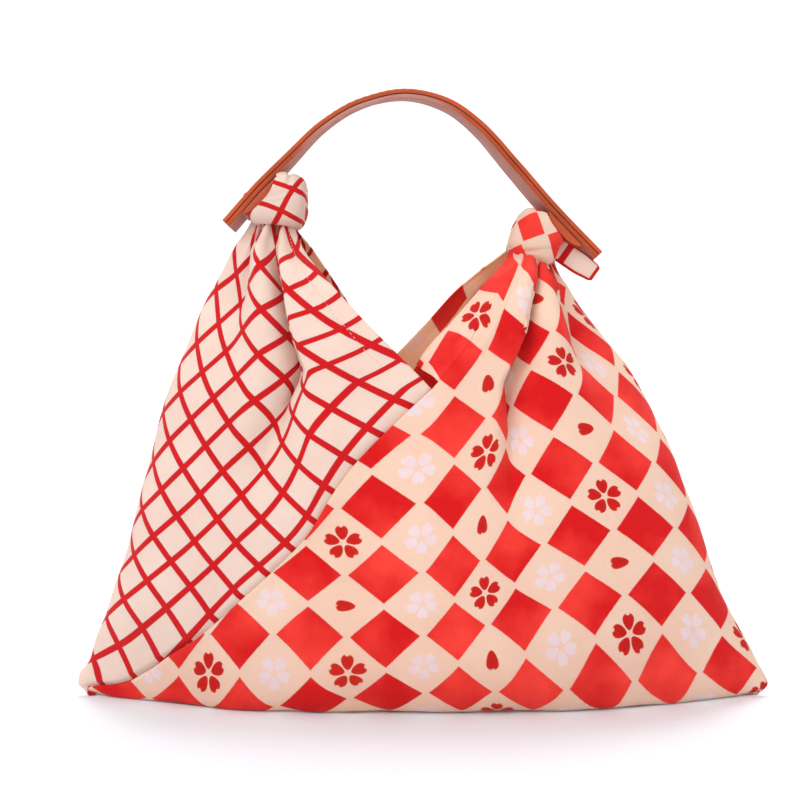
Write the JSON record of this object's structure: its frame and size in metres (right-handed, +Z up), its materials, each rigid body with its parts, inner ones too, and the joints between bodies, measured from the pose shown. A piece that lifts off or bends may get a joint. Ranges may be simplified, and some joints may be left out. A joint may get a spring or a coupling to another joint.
{
  "type": "azuma bag",
  "caption": "Azuma bag folded from one strip of cloth, its free corners knotted round the ends of a curved leather handle, standing on its flat base.",
  "frame": {"origin": "the middle of the base, on the ground under the bag", "axes": "+X to the right of the bag's front, along its length; +Y towards its back; +Z up"},
  "size_m": [0.3446, 0.0978, 0.3043],
  "materials": {
    "grid_cloth": "matt cream cotton printed with a red windowpane grid",
    "check_cloth": "matt peach cotton printed with red checks and blossoms",
    "leather": "orange-brown leather, lightly waxed",
    "leather_under": "pinkish tan flesh side of leather, matt"
  },
  "bodies": {
    "root": {"grid_square": "grid_cloth", "check_length": "check_cloth", "strap_upper": "leather", "strap_under": "leather_under", "tab_left": "leather", "tab_right": "leather"}
  },
  "joints": []
}
